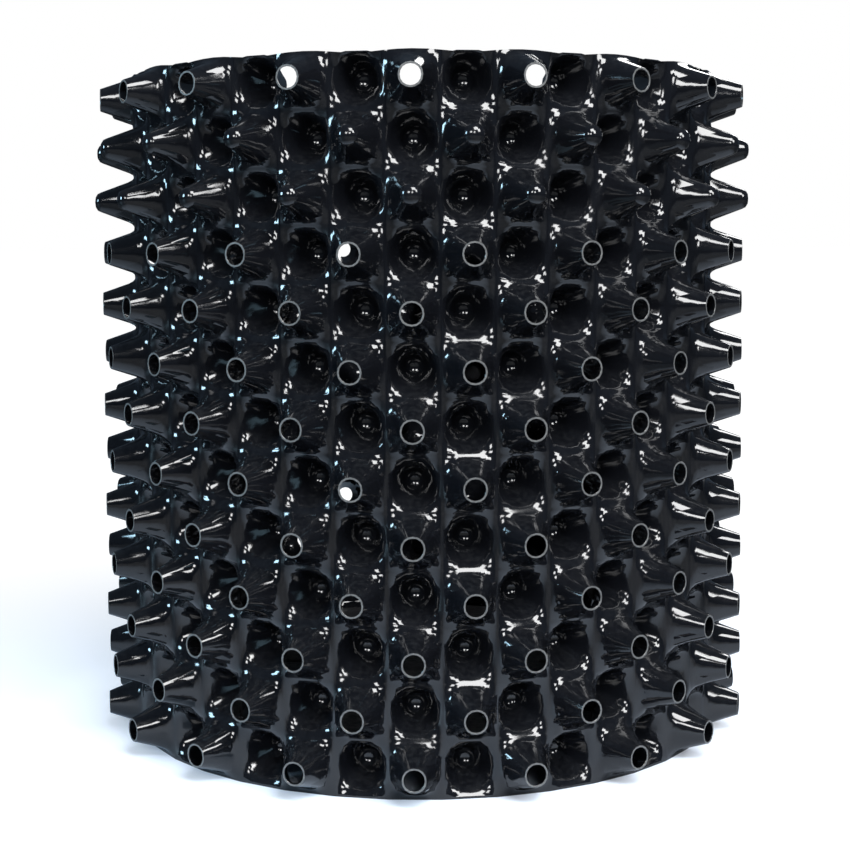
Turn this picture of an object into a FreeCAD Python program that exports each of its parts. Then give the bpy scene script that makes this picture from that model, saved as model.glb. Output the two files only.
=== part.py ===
import FreeCAD, Part
import math
import os
import Sketcher
from FreeCAD import Placement, Rotation, Vector

# An air pruning pot: one sheet formed into an egg-crate of outward studs and inward dimples, rolled
# into a cylinder, lapped by one column at the back and bolted there, round a slotted base plate.
# The origin is the centre of the bottom rim, +Z is up and -Y is the front.

SIZES = [
    ("studs_round", "19", "studs in one ring; the next ring stands half a pitch round from it"),
    ("rows_high", "13", "rings of studs, counted from the top as row 1"),
    ("row_pitch", "23.0", "height of one row"),
    ("skirt_drop", "1.0", "plain edge left below the lowest row"),
    ("wall_radius", "134.0", "axis to the middle of the sheet where four cells meet"),
    ("stud_radius", "149.0", "axis to the cut tip of an open stud"),
    ("closed_radius", "152.0", "axis to the crown of an uncut stud"),
    ("dimple_radius", "116.0", "axis to the innermost point of a dimple"),
    ("tip_radius", "5.3", "corner radius of a stud's six-sided tip"),
    ("tip_wall", "0.9", "width of the rim left round a cut tip"),
    ("sheet_gauge", "1.6", "thickness of the sheet along the draw"),
    ("closed_from", "2", "first row whose tips stay uncut"),
    ("closed_upto", "3", "last row whose tips stay uncut"),
    ("lap_gap", "0.6", "play between the nested layers of the lap, along the draw"),
    ("bolts", "3", "bolts down the lap, the first through the top row"),
    ("bolt_sides", "12", "sides of the moulded shank, head and nut's bore"),
    ("shank_radius", "3.1", "seam bolt's shank, to its corners"),
    ("shank_play", "0.2", "nut's bore over the shank"),
    ("head_radius", "5.4", "seam bolt's head, to its corners"),
    ("head_height", "2.2", "seam bolt's head"),
    ("head_play", "0.3", "head to the stud's inside, along the bolt"),
    ("bolt_proud", "1.5", "shank past the nut"),
    ("nut_height", "5.0", "wing nut's hub"),
    ("nut_radius", "6.0", "wing nut's six-sided hub, to its corners"),
    ("wing_span", "12.0", "bolt's axis to the end of a wing"),
    ("wing_rise", "4.5", "wings past the hub"),
    ("wing_width", "4.0", "wings at their ends"),
    ("wing_thick", "2.4", "wings"),
    ("plate_spread", "0.657", "how far up the dimples' flanks the base plate lies, 1 being their mouths"),
    ("plate_thick", "2.5", "base plate"),
    ("plate_play", "0.1", "base plate over the dimples that carry it"),
    ("hub_radius", "20.0", "plain middle of the base plate"),
    ("band_width", "9.0", "plain band at the base plate's edge"),
    ("ring_width", "8.0", "plain rings between the base plate's rings of slots"),
    ("slot_width", "6.0", "base plate's slots"),
    ("slots_least", "5", "slots in the inmost ring; each ring outward has as many more"),
]

doc = FreeCAD.newDocument("AirPruningPot")
sheet = doc.addObject("Spreadsheet::Sheet", "Size")
for line, (alias, value, note) in enumerate(SIZES, 1):
    sheet.set(f"A{line}", alias)
    sheet.set(f"B{line}", value)
    sheet.set(f"C{line}", note)
    sheet.setAlias(f"B{line}", alias)
doc.recompute()


def size(alias):
    return float(getattr(sheet, alias))


def evaluate(term):
    """Value of an expression on the sheet."""
    return float(sheet.evalExpression(term.replace("Size.", "")))


# The lattice. A column is half a stud pitch wide, so studs and dimples alternate along every row and
# up every column. Column 0 faces the front.
COLUMNS = 2 * int(size("studs_round"))
ROWS = int(size("rows_high"))
STEP = 2 * math.pi / COLUMNS
SEAM = 2 * (COLUMNS // 4)
HALF_GAUGE = size("sheet_gauge") / 2

# Expressions that the sheet and the pieces share.
TOTAL = "(Size.rows_high * Size.row_pitch + Size.skirt_drop)"
CHORD = "(Size.wall_radius * cos(90 / Size.studs_round))"
HALF_CELL = "(Size.wall_radius * sin(90 / Size.studs_round))"
FLANK = f"(({HALF_CELL} - Size.tip_radius) / (Size.stud_radius - {CHORD}))"

# A layer nests in the next when it is drawn off by the rim's width over the flank's slope, or by the
# gauge where that is more, and then by the play.
LAP = f"(max(Size.sheet_gauge; Size.tip_wall / {FLANK}) + Size.lap_gap)"

# The base plate's corners touch the flanks of the lowest dimples, a share of the way up them.
MOUTH = f"({CHORD} - Size.sheet_gauge / 2 * cos(90 / Size.studs_round))"
PLATE = f"(Size.dimple_radius + Size.plate_spread * ({MOUTH} - Size.dimple_radius))"
HEIGHT = evaluate(TOTAL)
LAP_STEP = evaluate(LAP)


def outward(column):
    """Direction from the axis to a column's middle, or to an edge at a half number."""
    return Vector(math.sin(column * STEP), -math.cos(column * STEP), 0)


def along(column):
    """Direction round the wall at a column's middle."""
    return Vector(math.cos(column * STEP), math.sin(column * STEP), 0)


def row_height(row):
    """Height of the middle of a row, 0 being the top one, or of an edge at a half number."""
    return HEIGHT - (row + 0.5) * size("row_pitch")


def is_stud(column, row):
    """Whether a cell stands outward; its neighbours in the row and the column are dimples."""
    return (column + row) % 2 == 0


def is_closed(row):
    """Whether a row's studs keep their crowns."""
    return size("closed_from") <= row + 1 <= size("closed_upto")


def lap_shift(edge):
    """The strip's first column lies outside its last one, drawn outward by the lap."""
    return outward(SEAM) * (LAP_STEP if edge <= 1 else 0)


def corner(edge, level, skin):
    """Point of one skin, +1 outside and -1 inside, where four cells meet."""
    radius = size("wall_radius") + skin * HALF_GAUGE
    point = outward(SEAM + edge - 0.5) * radius + lap_shift(edge)
    return point + Vector(0, 0, row_height(level - 0.5))


def tip_ring(place, row, skin):
    """The six corners of a stud's tip."""
    column = SEAM + place
    radius = size("tip_radius") - (size("tip_wall") if skin < 0 else 0)
    centre = outward(column) * size("stud_radius") + lap_shift(place + 1)
    centre.z = row_height(row)
    turns = [k * math.pi / 3 for k in range(6)]
    return [centre + along(column) * (radius * math.cos(t)) + Vector(0, 0, radius * math.sin(t))
            for t in turns]


def apex(place, row, skin):
    """Crown of an uncut stud, or bottom of a dimple."""
    column = SEAM + place
    if is_stud(column, row):
        radius = size("closed_radius") - (HALF_GAUGE if skin < 0 else 0)
    else:
        radius = size("dimple_radius") + (size("sheet_gauge") if skin > 0 else 0)
    point = outward(column) * radius + lap_shift(place + 1)
    point.z = row_height(row)
    return point


def flat_face(*points):
    """A face on three points, or on four when they lie in one plane and else as two threes."""
    if len(points) == 4:
        normal = (points[1] - points[0]).cross(points[2] - points[0]).normalize()
        if abs((points[3] - points[0]).dot(normal)) > 1e-6:
            return flat_face(*points[:3]) + flat_face(points[0], *points[2:])
    return [Part.Face(Part.makePolygon(list(points) + [points[0]]))]


def fan(ring, point):
    """Flat faces from a closed ring of points to one point."""
    return [face for k in range(len(ring))
            for face in flat_face(ring[k], ring[(k + 1) % len(ring)], point)]


def stud_flank(base, ring):
    """Flat faces between a cell's four corners and a six-sided tip."""
    right_low, right_high, left_high, left_low = base
    faces = flat_face(left_high, right_high, ring[1], ring[2])
    faces += flat_face(right_low, left_low, ring[4], ring[5])
    for low, high, tip in ((right_low, right_high, ring[0]), (left_low, left_high, ring[3])):
        faces += flat_face(low, high, tip)
    for foot, first in ((right_high, 0), (left_high, 2), (left_low, 3), (right_low, 5)):
        faces += flat_face(foot, ring[first], ring[(first + 1) % 6])
    return faces


def cell(place, row):
    """Both skins of one stud or dimple, with the rim of a cut tip."""
    faces, rings = [], []
    for skin in (1, -1):
        base = [corner(place + 1, row + 1, skin), corner(place + 1, row, skin),
                corner(place, row, skin), corner(place, row + 1, skin)]
        if not is_stud(SEAM + place, row):
            faces += fan(base, apex(place, row, skin))
            continue
        ring = tip_ring(place, row, skin)
        faces += stud_flank(base, ring)
        if is_closed(row):
            faces += fan(ring, apex(place, row, skin))
        rings.append(Part.makePolygon(ring + [ring[0]]))
    if rings and not is_closed(row):
        faces.append(Part.makeFace(rings, "Part::FaceMakerBullseye"))
    return faces


def outline_face(points):
    return Part.Face(Part.makePolygon(points + [points[0]]))


def wall_solid():
    """The whole formed sheet as one solid of flat faces."""
    faces = [face for place in range(COLUMNS + 1) for row in range(ROWS)
             for face in cell(place, row)]
    edges = range(COLUMNS + 2)
    drop = Vector(0, 0, -size("skirt_drop"))
    lowest = {skin: [corner(edge, ROWS, skin) for edge in edges] for skin in (1, -1)}
    foot = {skin: [point + drop for point in lowest[skin]] for skin in (1, -1)}
    for skin in (1, -1):
        for a in range(COLUMNS + 1):
            faces += flat_face(lowest[skin][a], lowest[skin][a + 1], foot[skin][a + 1], foot[skin][a])
    top = {skin: [corner(edge, 0, skin) for edge in edges] for skin in (1, -1)}
    faces.append(outline_face(top[1] + top[-1][::-1]))
    faces.append(outline_face(foot[1] + foot[-1][::-1]))
    for edge in (0, COLUMNS + 1):
        sides = {skin: [corner(edge, level, skin) for level in range(ROWS + 1)]
                 + [foot[skin][edge]] for skin in (1, -1)}
        faces.append(outline_face(sides[1] + sides[-1][::-1]))
    skins = Part.makeCompound(faces)
    skins.sewShape(1e-4)
    return Part.Solid(skins.Shells[0])


def make_wall():
    wall = doc.addObject("Part::Feature", "WallSheet")
    wall.Shape = wall_solid()
    wall.Label = "wall_sheet"
    return wall


def new_body(name, label):
    body = doc.addObject("PartDesign::Body", name)
    body.Label = label
    return body


def new_sketch(body, role, name):
    plane = next(item for item in body.Origin.OriginFeatures if item.Role == role)
    sketch = body.newObject("Sketcher::SketchObject", name)
    sketch.AttachmentSupport = (plane, [""])
    sketch.MapMode = "FlatFace"
    return sketch


def draw_outline(sketch, points):
    """A closed outline of straight lines, each point of it a pair of expressions."""
    first, count = sketch.GeometryCount, len(points)
    spots = [Vector(*[evaluate(term) for term in point], 0) for point in points]
    for k in range(count):
        sketch.addGeometry(Part.LineSegment(spots[k], spots[(k + 1) % count]), False)
    for k in range(count):
        sketch.addConstraint(
            Sketcher.Constraint("Coincident", first + k, 2, first + (k + 1) % count, 1))
    for k, point in enumerate(points):
        for kind, term, value in (("DistanceX", point[0], spots[k].x),
                                  ("DistanceY", point[1], spots[k].y)):
            index = sketch.addConstraint(Sketcher.Constraint(kind, -1, 1, first + k, 1, value))
            sketch.setExpression(f"Constraints[{index}]", term)


def add_prism(body, kind, name, sides, radius, height):
    """Adds or takes away an upright prism, given the radius to its corners."""
    prism = body.newObject(f"PartDesign::{kind}Prism", name)
    prism.Polygon = sides
    prism.setExpression("Circumradius", radius)
    prism.setExpression("Height", height)
    doc.recompute()
    return prism


def make_plate():
    """A slotted disc that rests on the lowest ring of dimples, inside the wall."""
    body = new_body("BasePlate", "base_plate")
    add_prism(body, "Additive", "PlateDisc", COLUMNS, PLATE, "Size.plate_thick")
    reach = f"({PLATE} - Size.band_width - Size.hub_radius + Size.ring_width)"
    for ring in range(1, 4):
        inner = f"Size.hub_radius + {ring - 1} * {reach} / 3"
        outer = f"Size.hub_radius + {ring} * {reach} / 3 - Size.ring_width"
        slot = new_sketch(body, "XY_Plane", f"SlotOutline{ring}")
        draw_outline(slot, [(inner, "-Size.slot_width / 2"), (outer, "-Size.slot_width / 2"),
                            (outer, "Size.slot_width / 2"), (inner, "Size.slot_width / 2")])
        pocket = body.newObject("PartDesign::Pocket", f"Slot{ring}")
        pocket.Profile = slot
        pocket.Type = "ThroughAll"
        pocket.Reversed = True
        doc.recompute()
        pattern = body.newObject("PartDesign::PolarPattern", f"Slots{ring}")
        pattern.Originals = [pocket]
        pattern.Axis = (slot, ["N_Axis"])
        pattern.Angle = 360
        pattern.setExpression("Occurrences", f"{ring} * Size.slots_least")
        body.Tip = pattern
        doc.recompute()
    body.setExpression("Placement.Base.z",
                       f"Size.skirt_drop + Size.row_pitch / 2 * (1 + Size.plate_spread)"
                       " + Size.plate_play")
    return body


# The bolts go through the cut stud tips of the lapped column, the same even number of rows apart.
BOLT_STEP = "(2 * floor((Size.rows_high - 1) / (2 * (Size.bolts - 1))) * Size.row_pitch)"

# The head sits where the inner layer's stud is just wider than it. Depth is from that stud's cut tip.
TIP_FLAT = "((Size.tip_radius - Size.tip_wall) * sin(60))"
CAVITY = f"((Size.row_pitch / 2 - {TIP_FLAT}) / (Size.stud_radius - {CHORD} + Size.sheet_gauge / 2))"
HEAD_DEPTH = f"((Size.head_radius - {TIP_FLAT}) / {CAVITY} + Size.head_play)"


def set_on_seam(body, radius):
    """Stands a body's Z outward on the top stud of the lapped column, at a distance from the axis."""
    turn = f"{SEAM} * 180 / Size.studs_round"
    body.Placement = Placement(Vector(), Rotation(along(SEAM), Vector(0, 0, 1), outward(SEAM), "ZXY"))
    body.setExpression("Placement.Base.x", f"{radius} * sin({turn})")
    body.setExpression("Placement.Base.y", f"-{radius} * cos({turn})")
    body.setExpression("Placement.Base.z", f"{TOTAL} - Size.row_pitch / 2")


def repeat_down_seam(body, name):
    """Repeats all that the body holds so far, down the lap."""
    pattern = body.newObject("PartDesign::LinearPattern", name)
    pattern.TransformMode = "Whole shape"
    axis = next(item for item in body.Origin.OriginFeatures if item.Role == "Y_Axis")
    pattern.Direction = (axis, [""])
    pattern.Reversed = True
    pattern.Mode = "Spacing"
    pattern.setExpression("Offset", BOLT_STEP)
    pattern.setExpression("Occurrences", "Size.bolts")
    body.Tip = pattern


def make_bolts():
    """Flat-headed bolts, each drawn from the end of its head along Z."""
    body = new_body("SeamBolts", "seam_bolts")
    length = f"Size.head_height + {HEAD_DEPTH} + {LAP} + Size.nut_height + Size.bolt_proud"
    sides = int(size("bolt_sides"))
    add_prism(body, "Additive", "BoltHead", sides, "Size.head_radius", "Size.head_height")
    add_prism(body, "Additive", "BoltShank", sides, "Size.shank_radius", length)
    repeat_down_seam(body, "BoltsDownSeam")
    set_on_seam(body, f"(Size.stud_radius - {HEAD_DEPTH} - Size.head_height)")
    return body


def make_nuts():
    """Wing nuts that bear on the outer layer's cut tips, each drawn from its seat along Z."""
    body = new_body("WingNuts", "wing_nuts")
    add_prism(body, "Additive", "NutHub", 6, "Size.nut_radius", "Size.nut_height")
    wings = new_sketch(body, "XZ_Plane", "WingOutline")
    top, root = "Size.nut_height + Size.wing_rise", "Size.nut_radius / 2"
    for side in ("", "-"):
        draw_outline(wings, [(f"{side}({root})", "Size.nut_height / 4"),
                             (f"{side}Size.wing_span", f"{top} - Size.wing_width / 2"),
                             (f"{side}Size.wing_span", top),
                             (f"{side}(Size.wing_span - Size.wing_width)", top),
                             (f"{side}({root})", "Size.nut_height")])
    web = body.newObject("PartDesign::Pad", "Wings")
    web.Profile = wings
    web.setExpression("Length", "Size.wing_thick")
    web.Midplane = True
    doc.recompute()
    add_prism(body, "Subtractive", "NutBore", int(size("bolt_sides")),
              "Size.shank_radius + Size.shank_play", top)
    repeat_down_seam(body, "NutsDownSeam")
    set_on_seam(body, f"(Size.stud_radius + {LAP})")
    return body


def check_and_write(pieces):
    """Stops on a failed object or a bad solid, and then writes one file a piece."""
    doc.recompute()
    for item in doc.Objects:
        if {"Invalid", "Error"} & set(item.State):
            raise RuntimeError(f"{item.Name} failed: {item.State}")
    for piece in pieces:
        shape = piece.Shape
        if shape.isNull() or not shape.isValid() or not shape.Solids or shape.Volume <= 0:
            raise RuntimeError(f"{piece.Label} is not a valid solid")
        print(f"{piece.Label}: {len(shape.Solids)} solid(s), {shape.Volume / 1000:.2f} cm3")
        shape.exportStep(f"parts/{piece.Label}.step")


def main():
    os.makedirs("parts", exist_ok=True)
    check_and_write([make_wall(), make_plate(), make_bolts(), make_nuts()])


if __name__ == "__main__":
    main()
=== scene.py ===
"""An air pruning pot: an egg-crate sheet of studs and dimples rolled round a slotted plate."""

import sys

import enum
import logging
import math
from collections.abc import Callable, Sequence
from dataclasses import dataclass, field

import bpy
from mathutils import Euler, Matrix, Vector


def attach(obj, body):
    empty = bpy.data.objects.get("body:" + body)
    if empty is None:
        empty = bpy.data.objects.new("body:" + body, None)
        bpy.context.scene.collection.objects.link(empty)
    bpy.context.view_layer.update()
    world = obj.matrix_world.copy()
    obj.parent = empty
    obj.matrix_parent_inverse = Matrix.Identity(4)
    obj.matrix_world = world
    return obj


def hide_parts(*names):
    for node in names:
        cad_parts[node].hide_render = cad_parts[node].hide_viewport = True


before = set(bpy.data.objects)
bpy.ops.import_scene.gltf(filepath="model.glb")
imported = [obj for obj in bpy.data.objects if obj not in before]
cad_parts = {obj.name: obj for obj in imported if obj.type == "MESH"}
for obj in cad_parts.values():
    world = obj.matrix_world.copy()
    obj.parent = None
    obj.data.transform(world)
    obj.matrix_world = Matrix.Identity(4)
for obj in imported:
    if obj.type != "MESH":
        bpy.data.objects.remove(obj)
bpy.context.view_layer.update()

LOG = logging.getLogger("air_pruning_pot")

# One millimetre in metres. How near, in millimetres, two places count as one, a place counts
# as on a ring, and as on a piece's end. How often a range is halved.
MM = 0.001
CLOSE = 0.01
ON_RING = 0.02
ROOM = 0.3
HALVINGS = 30

# Radius and height of a ring, in millimetres; two ends of a range; red, green and blue.
Ring = tuple[float, float]
Span = tuple[float, float]
Colour = tuple[float, float, float]
Socket = bpy.types.NodeSocket


def clear_selection() -> None:
    """Leaves edit mode and deselects every object."""
    if bpy.context.object and bpy.context.object.mode != "OBJECT":
        bpy.ops.object.mode_set(mode="OBJECT")
    bpy.ops.object.select_all(action="DESELECT")


def make_active(item: bpy.types.Object) -> None:
    """Selects one object alone and makes it active.

    Args:
        item: The object.
    """
    clear_selection()
    item.select_set(True)
    bpy.context.view_layer.objects.active = item


def open_editing(item: bpy.types.Object, mode: str = "VERT") -> None:
    """Opens an object in edit mode with nothing selected.

    Args:
        item: Object to edit.
        mode: VERT, EDGE or FACE selection.
    """
    make_active(item)
    bpy.ops.object.mode_set(mode="EDIT")
    bpy.ops.mesh.select_mode(type=mode)
    bpy.ops.mesh.select_all(action="DESELECT")


def pick_vertices(item: bpy.types.Object, wanted: Callable[[Vector], bool]) -> int:
    """Selects the vertices at wanted places while the object is in edit mode.

    Args:
        item: Object in edit mode.
        wanted: Whether a place, in millimetres, is wanted.

    Returns:
        How many vertices are selected.
    """
    bpy.ops.mesh.select_all(action="DESELECT")
    bpy.ops.object.mode_set(mode="OBJECT")
    count = 0
    for vertex in item.data.vertices:
        vertex.select = wanted(vertex.co / MM)
        count += vertex.select
    bpy.ops.object.mode_set(mode="EDIT")
    return count


def settle(item: bpy.types.Object) -> None:
    """Moves an object's place, turn and scale into its mesh."""
    make_active(item)
    bpy.ops.object.transform_apply(location=True, rotation=True, scale=True)


def apply_modifier(item: bpy.types.Object, kind: str, **settings: object) -> None:
    """Adds one modifier, sets it and applies it.

    Args:
        item: Object that takes the modifier.
        kind: Modifier type, as Blender names it.
        **settings: Values for the modifier's own fields.
    """
    make_active(item)
    modifier = item.modifiers.new(kind.title(), kind)
    for name, value in settings.items():
        setattr(modifier, name, value)
    bpy.ops.object.modifier_apply(modifier=modifier.name)


def join(pieces: Sequence[bpy.types.Object], name: str) -> bpy.types.Object:
    """Joins objects into one.

    Args:
        pieces: Objects to join, the first of which stays.
        name: Name of the joined object.

    Returns:
        The joined object.
    """
    clear_selection()
    for piece in pieces:
        piece.select_set(True)
    bpy.context.view_layer.objects.active = pieces[0]
    bpy.ops.object.join()
    joined = bpy.context.object
    joined.name = joined.data.name = name
    return joined


def place_copy(master: bpy.types.Object, place: Matrix) -> bpy.types.Object:
    """Copies a master with a mesh of its own, set into place in the mesh.

    Args:
        master: Object to copy.
        place: Where the copy stands, in metres.

    Returns:
        The copy, at the origin.
    """
    copy = bpy.data.objects.new(master.name, master.data.copy())
    copy.data.transform(place)
    bpy.context.collection.objects.link(copy)
    return copy


def start_ring(ring: Ring, sides: int, name: str, fill: str = "NOTHING") -> bpy.types.Object:
    """Adds a circle centred on Z, open in edit mode with all of it selected.

    Args:
        ring: Its radius and height.
        sides: How many sides it has.
        name: Name of the object.
        fill: What closes the circle, as Blender names it.

    Returns:
        The object.
    """
    clear_selection()
    bpy.ops.mesh.primitive_circle_add(vertices=sides, radius=ring[0] * MM, fill_type=fill,
                                      location=(0, 0, ring[1] * MM))
    item = bpy.context.object
    item.name = name
    settle(item)
    bpy.ops.object.mode_set(mode="EDIT")
    bpy.ops.mesh.select_mode(type="VERT")
    bpy.ops.mesh.select_all(action="SELECT")
    return item


def raise_rings(rings: Sequence[Ring]) -> None:
    """Extrudes the selected ring on through others centred on Z; one of no radius closes it.

    Args:
        rings: Radius and height of each ring, the first being the selected one.
    """
    for (radius, level), (next_radius, next_level) in zip(rings, rings[1:]):
        extrude((0, 0, next_level - level))
        if next_radius == 0.0:
            bpy.ops.mesh.merge(type="CENTER")
            return
        ratio = next_radius / radius
        bpy.ops.transform.resize(value=(ratio, ratio, 1.0),
                                 center_override=(0, 0, next_level * MM))


def extrude(step: Sequence[float]) -> None:
    """Extrudes what is selected by a step in millimetres."""
    bpy.ops.mesh.extrude_region_move(
        TRANSFORM_OT_translate={"value": [value * MM for value in step]})


def turn_outward() -> None:
    """Turns every face of a closed mesh outward and leaves edit mode."""
    bpy.ops.mesh.select_all(action="SELECT")
    bpy.ops.mesh.normals_make_consistent(inside=False)
    bpy.ops.object.mode_set(mode="OBJECT")


def smooth(item: bpy.types.Object, angle: float) -> None:
    """Shades an object smooth, apart from edges sharper than an angle in degrees."""
    make_active(item)
    bpy.ops.object.shade_smooth_by_angle(angle=math.radians(angle))


def halve(low: float, high: float, too_low: Callable[[float], bool]) -> tuple[float, float]:
    """Closes in by halving on the value where a test stops holding.

    Args:
        low: Value at which the test holds.
        high: Value at which it doesn't.
        too_low: The test.

    Returns:
        The last value below the place and the last one past it.
    """
    for _ in range(HALVINGS):
        middle = (low + high) / 2
        low, high = (middle, high) if too_low(middle) else (low, middle)
    return low, high


def give_plastic(piece: bpy.types.Object, plastic: bpy.types.Material) -> None:
    """Makes a plastic the only material of a piece."""
    piece.data.materials.clear()
    piece.data.materials.append(plastic)


class CellKind(enum.Enum):
    """What one cell of the egg-crate sheet is."""

    OPEN_STUD = "stud with its tip cut off"
    CLOSED_STUD = "stud with its crown left on"
    DIMPLE = "dimple"


@dataclass(frozen=True)
class Lattice:
    """Places of the cells on the rolled sheet, in millimetres.

    Column 0 faces the front and row 0 is the top one. A column is half a stud pitch wide.
    """

    columns: int = 38
    rows: int = 13
    row_pitch: float = 23.0
    skirt_drop: float = 1.0
    wall_radius: float = 134.0
    seam: int = 18
    lap_step: float = 3.013
    closed_rows: tuple[int, ...] = (1, 2)

    @property
    def height(self) -> float:
        """Height of the pot."""
        return self.rows * self.row_pitch + self.skirt_drop

    @property
    def half_step(self) -> float:
        """Half the angle of a column."""
        return math.pi / self.columns

    @property
    def chord_radius(self) -> float:
        """Axis to the middle of a cell's flat side."""
        return self.wall_radius * math.cos(self.half_step)

    @property
    def cell_width(self) -> float:
        """Width of a cell between its corners."""
        return 2 * self.wall_radius * math.sin(self.half_step)

    def outward(self, column: float) -> Vector:
        """Direction from the axis to a column."""
        turn = 2 * self.half_step * column
        return Vector((math.sin(turn), -math.cos(turn), 0.0))

    def along(self, column: float) -> Vector:
        """Direction round the wall at a column."""
        turn = 2 * self.half_step * column
        return Vector((math.cos(turn), math.sin(turn), 0.0))

    def row_height(self, row: float) -> float:
        """Height of the middle of a row."""
        return self.height - (row + 0.5) * self.row_pitch

    def kind(self, column: int, row: int) -> CellKind:
        """Says what a cell is.

        Args:
            column: Column of the cell.
            row: Row of the cell.

        Returns:
            Its kind.
        """
        if (column + row) % 2:
            return CellKind.DIMPLE
        return CellKind.CLOSED_STUD if row in self.closed_rows else CellKind.OPEN_STUD

    def stand(self, column: int, row: int) -> Matrix:
        """Frame of a cell: X along the wall, Y up and Z outward, from the middle of its flat side.

        Args:
            column: Column of the cell.
            row: Row of the cell.

        Returns:
            The cell's place, in metres.
        """
        centre = self.outward(column) * self.chord_radius
        centre.z = self.row_height(row)
        turned = Matrix((self.along(column), Vector((0, 0, 1)), self.outward(column))).transposed()
        return Matrix.Translation(centre * MM) @ turned.to_4x4()

    def lapped_stand(self, place: int, row: int) -> Matrix:
        """Frame of a cell counted along the strip, whose first column lies outside its last.

        Args:
            place: Number of the column along the strip.
            row: Row of the cell.

        Returns:
            The cell's place, in metres; the second column leans back to the wall.
        """
        stand = self.stand(self.seam + place, row)
        lift = self.outward(self.seam) * self.lap_step * MM
        if place > 1:
            return stand
        if place == 0:
            return Matrix.Translation(lift) @ stand
        lean = Matrix.Translation(lift / 2) @ stand
        for axis in range(3):
            lean[axis][0] -= lift[axis] / (self.cell_width * MM)
        return lean


@dataclass(frozen=True)
class PlasticFinish:
    """A black moulded or formed plastic: colours, gloss and the marks on it."""

    name: str
    colour: Colour
    worn: Colour
    roughness: float
    scuffed: float
    ripple: float
    ripple_scale: float
    grain: float
    grain_scale: float
    dust: float
    cut: Colour | None = None


def group_sockets(group: bpy.types.NodeTree, inputs: dict[str, float | tuple[float, ...]],
                  outputs: dict[str, str]) -> tuple[bpy.types.Node, bpy.types.Node]:
    """Gives a node group its inputs and outputs.

    Args:
        group: The node group.
        inputs: Each input's default: a number, or a colour's four numbers.
        outputs: Each output's socket type.

    Returns:
        The group's input and output nodes.
    """
    for name, value in inputs.items():
        kind = "NodeSocketColor" if isinstance(value, tuple) else "NodeSocketFloat"
        group.interface.new_socket(name, in_out="INPUT", socket_type=kind).default_value = value
    for name, kind in outputs.items():
        group.interface.new_socket(name, in_out="OUTPUT", socket_type=kind)
    return group.nodes.new("NodeGroupInput"), group.nodes.new("NodeGroupOutput")


def add_node(tree: bpy.types.NodeTree, kind: str, settings: dict[str, object] | None = None,
             inputs: dict[str | int, object] | None = None) -> bpy.types.Node:
    """Adds one node with its settings and inputs.

    Args:
        tree: Node tree to add it to.
        kind: Node type, such as ShaderNodeMath.
        settings: The node's own fields.
        inputs: A value, or a socket to link, for each input.

    Returns:
        The new node.
    """
    node = tree.nodes.new(kind)
    for name, value in (settings or {}).items():
        setattr(node, name, value)
    for name, value in (inputs or {}).items():
        if isinstance(value, Socket):
            tree.links.new(value, node.inputs[name])
        else:
            node.inputs[name].default_value = value
    return node


def object_place(tree: bpy.types.NodeTree) -> Socket:
    """Adds a Texture Coordinate node for its Object output."""
    return add_node(tree, "ShaderNodeTexCoord").outputs["Object"]


def camera_ray(tree: bpy.types.NodeTree) -> Socket:
    """Adds a Light Path node for its Is Camera Ray output."""
    return add_node(tree, "ShaderNodeLightPath").outputs["Is Camera Ray"]


def add_noise(tree: bpy.types.NodeTree, place: Socket, scale: float | Socket, detail: float,
              roughness: float = 0.5) -> Socket:
    """Adds a Noise Texture with its place, scale, detail and roughness, for its Fac output."""
    return add_node(tree, "ShaderNodeTexNoise", inputs={
        "Vector": place, "Scale": scale, "Detail": detail, "Roughness": roughness}).outputs["Fac"]


def remap(tree: bpy.types.NodeTree, value: Socket, given: Span, made: Span = (0.0, 1.0)) -> Socket:
    """Adds a Map Range node that turns the given ends into others, for its result."""
    return add_node(tree, "ShaderNodeMapRange", inputs={
        "Value": value, "From Min": given[0], "From Max": given[1],
        "To Min": made[0], "To Max": made[1]}).outputs["Result"]


def calculate(tree: bpy.types.NodeTree, operation: str, *terms: float | Socket,
              clamped: bool = False) -> Socket:
    """Adds a Math node of an operation with its terms, for its result."""
    return add_node(tree, "ShaderNodeMath", {"operation": operation, "use_clamp": clamped},
                    dict(enumerate(terms))).outputs[0]


def blend(tree: bpy.types.NodeTree, share: Socket, first: object, second: object,
          kind: str = "RGBA") -> Socket:
    """Adds a Mix node that goes from the first to the second by a share, for its result."""
    return add_node(tree, "ShaderNodeMix", {"data_type": kind},
                    {"Factor": share, "A": first, "B": second}).outputs["Result"]


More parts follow.
